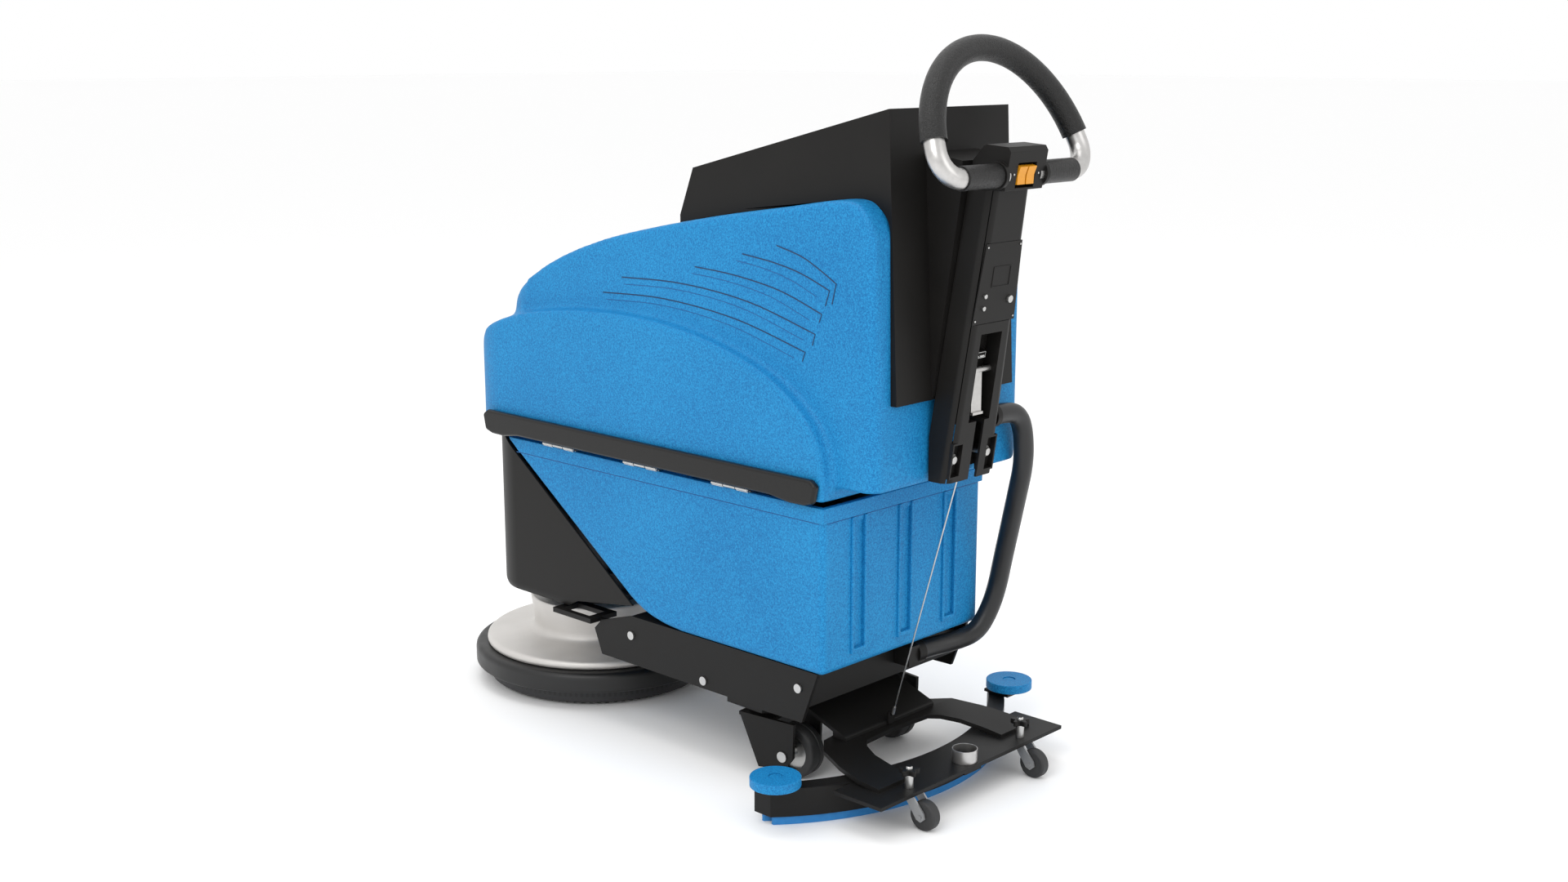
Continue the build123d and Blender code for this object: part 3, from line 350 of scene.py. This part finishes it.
hub = [(0.00505, -0.0219), (0.0100, -0.0219), (0.0100, -0.012), (0.0290, -0.0105), (0.0290, 0.0105),
       (0.0100, 0.012), (0.0100, 0.0219), (0.00505, 0.0219)]
for side, sign in (("left", 1), ("right", -1)):
    across = Vector((cos(splay), sign * sin(splay), 0))
    along = Vector((-sign * sin(splay), cos(splay), 0))
    wheel_at = Vector((sign * 0.126, 0.1955, hub_high)) + along * trail
    wheel = f"{side}_caster_wheel"
    settled(turned(tyre, wheel_at, across, 64, start=along), f"{side}_caster_tyre", tyre_rubber, wheel,
            wheel, crease=40)
    settled(turned(hub, wheel_at, across, 48, start=along), f"{side}_caster_hub", zinc, wheel,
            crease=40, slot="bright_steel")

# ---------------------------------------------------------------- battery base
# The lower tank is rotomoulded in blue polyethylene, with soft edges and a speckled orange-peel
# grain. A rim runs round its top and three framed panels are sunk in its rear wall. The two
# batteries stand in a well in its rear half.
blue_plastic = Finish("blue_plastic", specular_ior_level=0.24)
peel = blue_plastic.noise(341.5, 2, 0.55)
speckle = blue_plastic.noise(632.2, 1)
haze = blue_plastic.noise(3.2, 2)
blue_plastic.wear(
    base_color=blue_plastic.between(
        blue_plastic.steps(peel * 0.55 + speckle * 0.45 + haze * 0.2, 0.47, 0.74),
        (0.002, 0.122, 0.330, 1), (0.013, 0.250, 0.530, 1)),
    roughness=peel * 0.18 + 0.44,
    normal=blue_plastic.bumps(peel + speckle * 0.5, 0.30, 0.0008))


def prism(outline, low, high, axis):
    """A bmesh solid: a closed outline in the plane across an axis, from low to high along it."""
    bm = bmesh.new()
    place = {"x": lambda a, b: (low, a, b), "y": lambda a, b: (a, low, b),
             "z": lambda a, b: (a, b, low)}[axis]
    step = {"x": (high - low, 0, 0), "y": (0, high - low, 0), "z": (0, 0, high - low)}[axis]
    face = bm.faces.new([bm.verts.new(place(a, b)) for a, b in outline])
    grown = bmesh.ops.extrude_face_region(bm, geom=[face])
    bmesh.ops.translate(bm, vec=step, verts=[v for v in grown["geom"] if isinstance(v, bmesh.types.BMVert)])
    bmesh.ops.recalc_face_normals(bm, faces=bm.faces)
    return bm


def solid_piece(bm, name):
    """A helper solid for the boolean steps; it is removed again afterwards."""
    mesh = bpy.data.meshes.new(name)
    bm.to_mesh(mesh)
    bm.free()
    made = bpy.data.objects.new(name, mesh)
    bpy.context.collection.objects.link(made)
    return made


def combined(base_piece, *others):
    """Applies booleans to a helper solid in turn."""
    for kind, other in others:
        step = base_piece.modifiers.new(kind, "BOOLEAN")
        step.operation = kind
        step.object = other
        step.solver = "EXACT"
    return base_piece


def read_back(base_piece, *helpers):
    """The evaluated solid as a bmesh; the helper solids are cleared."""
    bm = bmesh.new()
    depsgraph = bpy.context.evaluated_depsgraph_get()
    bm.from_mesh(bpy.data.meshes.new_from_object(base_piece.evaluated_get(depsgraph)))
    for helper in (base_piece, *helpers):
        bpy.data.objects.remove(helper)
    return bm


def slab(bm, x, y, z):
    """Adds a block between two ends on each axis, in metres."""
    made = bmesh.ops.create_cube(bm, size=1)
    middle = Matrix.Translation([(a + b) / 2 for a, b in (x, y, z)])
    sides = Matrix.Diagonal([b - a for a, b in (x, y, z)] + [1])
    bmesh.ops.transform(bm, matrix=middle @ sides, verts=made["verts"])


wall_y = 0.3755
base_side = [(-0.388, 0.478), (-0.062, 0.2478), (-0.046, 0.2385), (-0.028, 0.230), (-0.006, 0.223),
             (0.022, 0.2175), (0.060, 0.214), (wall_y, 0.214), (wall_y, 0.478)]
base = softened(prism(base_side, -0.192, 0.192, "x"), 0.010)
panels = bmesh.new()
for x in (-0.111, 0, 0.111):
    slab(panels, (x - 0.012, x + 0.012), (wall_y - 0.003, wall_y + 0.02), (0.2445, 0.4455))
well = bmesh.new()
slab(well, (-0.185, 0.185), (0.084, 0.3695), (0.222, 0.52))
base, panels, well = solid_piece(base, "base"), solid_piece(panels, "panels"), solid_piece(well, "well")
base = read_back(combined(base, ("DIFFERENCE", panels), ("DIFFERENCE", well)), panels)
settled(base, "battery_base", blue_plastic, "chassis", "solution_tank", crease=40)
band_side = [(-0.372, 0.4775), (-0.343, 0.4535), (0.3777, 0.4535), (0.3777, 0.4775)]
band = softened(prism(band_side, -0.1942, 0.1942, "x"), 0.0018, segments=2)
band = read_back(combined(solid_piece(band, "band"), ("DIFFERENCE", well)), well)
settled(band, "base_rim", blue_plastic, "chassis", crease=40, slot="blue_tank")
ribs = bmesh.new()
for x in (-0.111, 0, 0.111):
    for side in (-1, 1):
        slab(ribs, sorted((x + side * 0.0118, x + side * 0.0178)), (wall_y - 0.001, wall_y + 0.0038),
             (0.2357, 0.4533))
    slab(ribs, (x - 0.0175, x + 0.0175), (wall_y - 0.001, wall_y + 0.0036), (0.2357, 0.2437))
softened(ribs, 0.0016, segments=2)
settled(ribs, "rear_wall_ribs", blue_plastic, "chassis", crease=40, slot="blue_tank")

battery_case = Finish("battery_case", base_color=(0.02, 0.02, 0.022, 1))
battery_case.wear(roughness=battery_case.noise(50) * 0.2 + 0.4)
for cell in ("left_battery", "right_battery", "filler_cap"):
    dressed(cell, battery_case, edge=0.003, segments=3)

# ---------------------------------------------------------------- front shroud
# A vacuum-formed black shell over the brush motor, with a large front radius. It is cut off
# along a diagonal, where the blue base shows.
satin_black = Finish("satin_black", specular_ior_level=0.2)
mist = satin_black.noise(9, 3)
grain = satin_black.noise(900, 2)
satin_black.wear(
    base_color=satin_black.between(mist, (0.0050, 0.0046, 0.0043, 1), (0.0098, 0.0090, 0.0082, 1)),
    roughness=mist * 0.12 + grain * 0.08 + 0.36,
    normal=satin_black.bumps(grain, 0.07, 0.0003))
dressed("front_shroud", satin_black, edge=0.002, crease=35, segments=3)
for fitting in ("drain_valve", "hose_elbow", "vacuum_motor"):
    dressed(fitting, satin_black, edge=0.0015)

# ---------------------------------------------------------------- recovery tank
# One blue rotomoulded tank with swollen sides over the base and a narrower upper half. Where the
# two meet, the wall runs in a soft hollow. Fine dark blue lines on each upper side are painted
# shade in its louvre grooves, with fainter painted shadow lines just below them.
def eased(points, steps=9):
    """More points on a smooth line through the given ones."""
    line = []
    padded = [points[0]] + list(points) + [points[-1]]
    for p0, p1, p2, p3 in zip(padded, padded[1:], padded[2:], padded[3:]):
        for k in range(steps):
            t = k / steps
            line.append(tuple(0.5 * (2 * b + (c - a) * t + (2 * a - 5 * b + 4 * c - d) * t * t
                                     + (3 * b - a - 3 * c + d) * t ** 3)
                              for a, b, c, d in zip(p0, p1, p2, p3)))
    return line + [tuple(points[-1])]


def rounded_plan(half, y_front, y_rear, front_r, rear_r, steps=12):
    """Plan outline with a large radius at the front corners and a small one at the rear."""
    plan = []
    for cx, cy, r, start in ((half - rear_r, y_rear - rear_r, rear_r, 0),
                             (-half + rear_r, y_rear - rear_r, rear_r, 90),
                             (-half + front_r, y_front + front_r, front_r, 180),
                             (half - front_r, y_front + front_r, front_r, 270)):
        for k in range(steps + 1):
            turn = radians(start + 90 * k / steps)
            plan.append((cx + r * cos(turn), cy + r * sin(turn)))
    return plan


def relaxed(bm, verts, rounds):
    """Lets a mesh's points settle between their neighbours."""
    for _ in range(rounds):
        bmesh.ops.smooth_vert(bm, verts=verts, factor=0.5, use_axis_x=True, use_axis_y=True,
                              use_axis_z=True)


def melted(base_piece, voxel, rounds, *helpers):
    """Reads the solid back as an even mesh whose edges have run soft."""
    remesh = base_piece.modifiers.new("remesh", "REMESH")
    remesh.mode = "VOXEL"
    remesh.voxel_size = voxel
    bm = read_back(base_piece, *helpers)
    relaxed(bm, bm.verts, rounds)
    return bm


upper_side = ([(-0.417, 0.490), (-0.417, 0.655)]
              + eased([(-0.417, 0.655), (-0.404, 0.697), (-0.350, 0.745), (-0.255, 0.797),
                       (-0.138, 0.838), (-0.010, 0.868), (0.140, 0.896), (0.270, 0.916), (0.395, 0.934),
                       (0.437, 0.921), (0.455, 0.884)])[1:]
              + [(0.462, 0.508), (0.3805, 0.508), (0.3805, 0.490)])
fender_side = (eased([(-0.496, 0.560), (-0.482, 0.620), (-0.430, 0.668), (-0.330, 0.700),
                      (-0.215, 0.718), (-0.110, 0.725), (0.010, 0.723), (0.115, 0.710), (0.210, 0.686),
                      (0.285, 0.655), (0.345, 0.610), (0.373, 0.565), (0.380, 0.525)])
               + [(0.380, 0.486), (-0.496, 0.486)])
upper = solid_piece(prism(upper_side, -0.178, 0.178, "x"), "upper")
upper_plan = rounded_plan(0.178, -0.417, 0.462, 0.090, 0.024)
upper_plan = solid_piece(prism(upper_plan, 0.4, 1.0, "z"), "upper_plan")
fender = solid_piece(prism(fender_side, -0.200, 0.200, "x"), "fender")
fender_plan = rounded_plan(0.200, -0.496, 0.380, 0.105, 0.004)
fender_plan = solid_piece(prism(fender_plan, 0.4, 1.0, "z"), "fender_plan")
combined(fender, ("INTERSECT", fender_plan))
combined(upper, ("INTERSECT", upper_plan), ("UNION", fender))
tank_bm = melted(upper, 0.005, 5, upper_plan, fender, fender_plan)
nose = [v for v in tank_bm.verts if v.co.y < -0.33 and v.co.z > 0.515]
relaxed(tank_bm, nose, 12)
tank_skin = BVHTree.FromBMesh(tank_bm)
settled(tank_bm, "recovery_tank_skin", blue_plastic, "recovery_unit", "recovery_tank", crease=60)

# Near-black blue for the painted shade in the louvre grooves.
groove_shade_blue = Finish("groove_shade_blue", base_color=(0.002, 0.026, 0.085, 1))
groove_shade_blue.wear(roughness=groove_shade_blue.noise(200) * 0.2 + 0.5)
# Darker blue for painted shadow: the faint lines under each louvre and the line under the base's rim.
faint_shade_blue = Finish("faint_shade_blue", base_color=(0.003, 0.085, 0.260, 1))
faint_shade_blue.wear(roughness=faint_shade_blue.noise(200) * 0.2 + 0.5)
louvres = [
    [(0.2675, 0.860), (0.316, 0.848), (0.352, 0.832), (0.3865, 0.813), (0.3785, 0.783)],
    [(0.1955, 0.842), (0.262, 0.834), (0.318, 0.822), (0.3735, 0.802), (0.3655, 0.779)],
    [(0.0915, 0.814), (0.180, 0.808), (0.274, 0.793), (0.3585, 0.766), (0.3535, 0.754)],
    [(-0.0800, 0.783), (0.060, 0.785), (0.208, 0.770), (0.3455, 0.735), (0.3400, 0.718)],
    [(-0.1270, 0.754), (0.020, 0.757), (0.180, 0.741), (0.3255, 0.706), (0.3200, 0.692)],
]


def line_piece(lines, width, name, finish, body, slot, crown=2):
    """Round beads of one width along lines of points, as one mesh piece."""
    curve = bpy.data.curves.new(name + "_line", "CURVE")
    curve.dimensions = "3D"
    for line in lines:
        spline = curve.splines.new("POLY")
        spline.points.add(len(line) - 1)
        for point, at in zip(spline.points, line):
            point.co = (*at, 1)
    curve.bevel_depth = width / 2
    curve.bevel_resolution = crown
    curve.use_fill_caps = True
    maker = bpy.data.objects.new(name + "_maker", curve)
    bpy.context.collection.objects.link(maker)
    bm = read_back(maker)
    bmesh.ops.remove_doubles(bm, verts=bm.verts, dist=0.00001)
    return settled(bm, name, finish, body, crease=50, slot=slot)


def on_flank(sign, y, z):
    """The tank's side wall at a height and a distance back."""
    hit = tank_skin.ray_cast(Vector((sign * 0.4, y, z)), Vector((-sign, 0, 0)))[0]
    return (hit.x + sign * 0.00005, y, z)


# The louvre grooves are not cut. Thin dark blue beads laid on each flank paint their shade, and fainter
# ones just below paint the shadow each louvre casts.
strong, faint = [], []
for sign in (-1, 1):
    for number, line in enumerate(louvres):
        strong.append([on_flank(sign, y, z) for y, z in eased(line[:4], 6) + [line[4]]])
        if number:
            faint.append([on_flank(sign, y * 0.93, z - 0.011) for y, z in eased(line[:4], 6)])
# A thin darker blue bead round the base just under its rim paints the shade in the groove beneath the rim.
rim_line = [(-0.1921, -0.351, 0.4528), (-0.1921, 0.366, 0.4528), (-0.182, 0.3756, 0.4528),
            (0.182, 0.3756, 0.4528), (0.1921, 0.366, 0.4528), (0.1921, -0.351, 0.4528)]
line_piece([rim_line], 0.0016, "base_rim_line", faint_shade_blue, "chassis", "blue_tank", crown=1)
line_piece(strong, 0.0020, "louvre_lines", groove_shade_blue, "recovery_unit", "blue_tank", crown=1)
line_piece(faint, 0.0012, "louvre_shadows", faint_shade_blue, "recovery_unit", "blue_tank", crown=1)

# ---------------------------------------------------------------- tank hinges and bumper strips
# Three zinc-plated butt hinges join the tank to its base on the left. A moulded black strip with
# paddle ends covers their upper leaves, and a second one matches it on the right.
for leaves in ("lower_hinge_leaves", "upper_hinge_leaves"):
    dressed(leaves, zinc, edge=0.0004)
strip_black = Finish("strip_black", specular_ior_level=0.28)
strip_grain = strip_black.noise(260, 2)
strip_black.wear(
    base_color=strip_black.between(strip_grain, (0.0052, 0.0050, 0.0050, 1), (0.0105, 0.0100, 0.0095, 1)),
    roughness=strip_grain * 0.12 + 0.3,
    normal=strip_black.bumps(strip_grain, 0.1, 0.0005))
for side in ("left", "right"):
    node = f"{side}_bumper_strip"
    low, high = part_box(node)
    inner, outer = sorted((low[0], high[0]), key=abs)
    top, foot = high[2], low[2]
    side_view = [(low[1] + 0.012, top), (low[1], top - 0.008), (low[1] + 0.006, foot),
                 (low[1] + 0.024, foot - 0.005), (low[1] + 0.055, foot - 0.0055),
                 (low[1] + 0.095, foot), (high[1] - 0.095, foot), (high[1] - 0.055, foot - 0.0055),
                 (high[1] - 0.024, foot - 0.005), (high[1] - 0.006, foot), (high[1], top - 0.008),
                 (high[1] - 0.012, top)]
    strip = prism(side_view, *sorted((inner, outer + 0.0015 * (1 if outer > 0 else -1))), "x")
    softened(strip, 0.0048, crease=50, segments=5)
    settled(strip, f"{node}_skin", strip_black, "recovery_unit", node, crease=45)

# ---------------------------------------------------------------- top cover and duct
# A black vacuum-formed hood over the suction motor. Its rear panel drapes down the tank, and a
# tapering duct fills the space between it and the leaning column.
dressed("top_cover", satin_black, edge=0.0035, crease=35, segments=4)

# ---------------------------------------------------------------- control column
# A black moulded channel that leans back from the tank, held by two bolts at its foot. It
# carries an access plate with its button and lamps, and a pocket with the lever and the meter.
for moulding in ("control_column", "access_plate", "switch_head"):
    dressed(moulding, satin_black, edge=0.0012, crease=30, segments=3)
for bright in ("indicator_lamps", "push_button"):
    dressed(bright, zinc, edge=0.0006)
amber = Finish("amber", specular_ior_level=0.5)
amber.wear(base_color=amber.between(amber.noise(300), (0.60, 0.235, 0.006, 1), (0.70, 0.30, 0.010, 1)),
           roughness=amber.noise(60) * 0.1 + 0.32)
for side in ("left", "right"):
    dressed(f"{side}_rocker", amber, edge=0.0008)
dressed("charge_meter", satin_black, edge=0.0006)
meter_white = Finish("meter_white", base_color=(0.72, 0.72, 0.71, 1))
meter_white.wear(roughness=meter_white.noise(80) * 0.1 + 0.3)
meter_low, meter_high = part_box("charge_meter")
meter_mid = (Vector(meter_low) + Vector(meter_high)) / 2
meter_up = Vector((0, 0.15, 1)).normalized()
meter_out = Vector((0, 1, -0.15)).normalized()


def on_meter(across, up, out=0.0046):
    """A point on the meter's leaning face."""
    return tuple(meter_mid + Vector((across, 0, 0)) + meter_up * up + meter_out * out)


bezel = [(-0.0145, -0.004), (0.0145, -0.004), (0.0145, 0.004), (-0.0145, 0.004)]
cells = [[(x - 0.0048, -0.0018), (x + 0.0048, -0.0018)] for x in (-0.0068, 0.0068)]
for name, lines, width in (("meter_bezel", [bezel + bezel[:2]], 0.0013), ("meter_cells", cells, 0.0024)):
    line_piece([[on_meter(*p) for p in line] for line in lines], width, name, meter_white, "recovery_unit",
               "meter_face", crown=1)

# ---------------------------------------------------------------- loop handle
# A bent steel tube in satin chrome, with leather-grained foam round the loop and on the bar.
satin_steel = Finish("satin_steel", metallic=1.0)
satin_cloud = satin_steel.noise(150, 3)
satin_steel.wear(
    base_color=satin_steel.between(satin_cloud, (0.46, 0.45, 0.44, 1), (0.60, 0.59, 0.575, 1)),
    roughness=satin_cloud * 0.12 + 0.30,
    normal=satin_steel.bumps(satin_steel.noise(900), 0.05, 0.0002))
grip_foam = Finish("grip_foam", specular_ior_level=0.36)
leather = grip_foam.node("ShaderNodeTexVoronoi", {"feature": "DISTANCE_TO_EDGE"},
                         {"Vector": grip_foam.place, "Scale": 420})
creases = grip_foam.noise(240, 4, 0.65)
grip_foam.wear(
    base_color=grip_foam.between(creases, (0.003, 0.003, 0.003, 1), (0.0095, 0.0090, 0.0085, 1)),
    roughness=creases * 0.2 + 0.24,
    normal=grip_foam.bumps(leather * 0.8 + creases, 0.8, 0.0018))
loop_r, loop_up, bend_r, lean = 0.1705, 0.019, 0.036, 0.398
rise = Vector((0, -lean, 1)).normalized()
bar_at = Vector((0, 0.5735, 0.971))
bend_x = sqrt((loop_r - bend_r) ** 2 - (bend_r - loop_up) ** 2)
join = atan2(bend_r - loop_up, bend_x)


def on_loop(across, up):
    """A point in the leaning plane of the handle's loop."""
    return tuple(bar_at + Vector((across, 0, 0)) + rise * up)


def loop_arc(start, end, steps):
    """Points round the loop from one angle to another."""
    turns = [start + (end - start) * k / steps for k in range(steps + 1)]
    return [on_loop(loop_r * cos(t), loop_up + loop_r * sin(t)) for t in turns]


half = [on_loop(0.036, 0), on_loop(bend_x, 0)]
half += [on_loop(bend_x + bend_r * sin(t), bend_r - bend_r * cos(t))
         for t in [(pi / 2 + join) * k / 24 for k in range(1, 25)]]
mirrored = [(-x, y, z) for x, y, z in reversed(half)]
tube_line = half + loop_arc(join, pi - join, 90)[1:-1] + mirrored
tube = line_piece([tube_line], 0.030, "handle_tube_skin", satin_steel, "recovery_unit", "satin_tube",
                  crown=10)
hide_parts("handle_tube")
grip = line_piece([loop_arc(radians(12), radians(168), 100)], 0.038, "handle_grip_skin", grip_foam,
                  "recovery_unit", "grip_foam", crown=12)
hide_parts("handle_grip")
for side in ("left", "right"):
    dressed(f"{side}_bar_sleeve", grip_foam, edge=0.002, segments=3)

# ---------------------------------------------------------------- squeegee lift
# A bent steel lever on a cross rod pulls a thin steel cable, which lifts the squeegee's arm.
dressed("lift_lever", satin_steel, edge=0.0005)
dressed("lift_cable", zinc, edge=0)

# ---------------------------------------------------------------- squeegee
# A powder-coated casting on a folded arm holds two blue rubber blades in a curved channel. Blue
# rollers keep it off the wall and two small wheels carry it.
dressed("squeegee_arm", powder_coat, edge=0.0012)
dressed("squeegee_casting", powder_coat, edge=0.0014, segments=2)
dressed("suction_stub", satin_steel, edge=0.0005)
grey_steel = Finish("grey_steel", metallic=0.6, base_color=(0.30, 0.305, 0.31, 1))
grey_steel.wear(roughness=grey_steel.noise(80) * 0.2 + 0.35)
dressed("support_wheel_brackets", grey_steel, edge=0.0005)
blade_rubber = Finish("blade_rubber", specular_ior_level=0.35)
blade_tone = blade_rubber.noise(90, 3)
blade_rubber.wear(
    base_color=blade_rubber.between(blade_tone, (0.010, 0.145, 0.40, 1), (0.030, 0.22, 0.52, 1)),
    roughness=blade_tone * 0.2 + 0.45)
for blade in ("front_blade", "rear_blade"):
    dressed(blade, blade_rubber, edge=0.0005)
for side in ("left", "right"):
    dressed(f"{side}_support_wheel", tyre_rubber, edge=0.0008)
    dressed(f"{side}_bumper_roller", blue_plastic, edge=0.0012)
for side, sign in (("left", 1), ("right", -1)):
    hub_at = Vector((sign * 0.291, 0.3715, 0))
    cap = [(0.0002, 0.0822), (0.0105, 0.0822), (0.0105, 0.0832), (0.0095, 0.0838), (0.0002, 0.0838)]
    settled(turned(cap, hub_at, steps=40), f"{side}_roller_cap", blue_plastic, "squeegee", crease=40,
            slot="blue_tank")
    knob_at = Vector((sign * 0.140, 0.5055, 0))
    star = bmesh.new()
    plan = [(0.0125 + 0.0036 * cos(5 * turn), turn) for turn in [2 * pi * k / 60 for k in range(60)]]
    base_ring = [star.verts.new(knob_at + Vector((r * cos(t), r * sin(t), 0.0805))) for r, t in plan]
    lifted = bmesh.ops.extrude_face_region(star, geom=[star.faces.new(base_ring)])
    raised = [v for v in lifted["geom"] if isinstance(v, bmesh.types.BMVert)]
    bmesh.ops.translate(star, vec=(0, 0, 0.0085), verts=raised)
    bmesh.ops.recalc_face_normals(star, faces=star.faces)
    softened(star, 0.0014, crease=60, segments=3)
    settled(star, f"{side}_star_knob_skin", satin_black, f"{side}_star_knob", f"{side}_star_knob",
            crease=40)
    post = [(0.0002, 0.0592), (0.0068, 0.0592), (0.0068, 0.0790), (0.0062, 0.0802), (0.0002, 0.0802)]
    settled(turned(post, knob_at, steps=32), f"{side}_knob_post", zinc, "squeegee", crease=40,
            slot="bright_steel")
    dome_nut = [(0.0002, 0.0888), (0.0052, 0.0888), (0.0052, 0.0912), (0.0042, 0.0930), (0.0022, 0.0939),
                (0.0002, 0.0940)]
    settled(turned(dome_nut, knob_at, steps=32), f"{side}_knob_nut", zinc, f"{side}_star_knob", crease=40,
            slot="bright_steel")
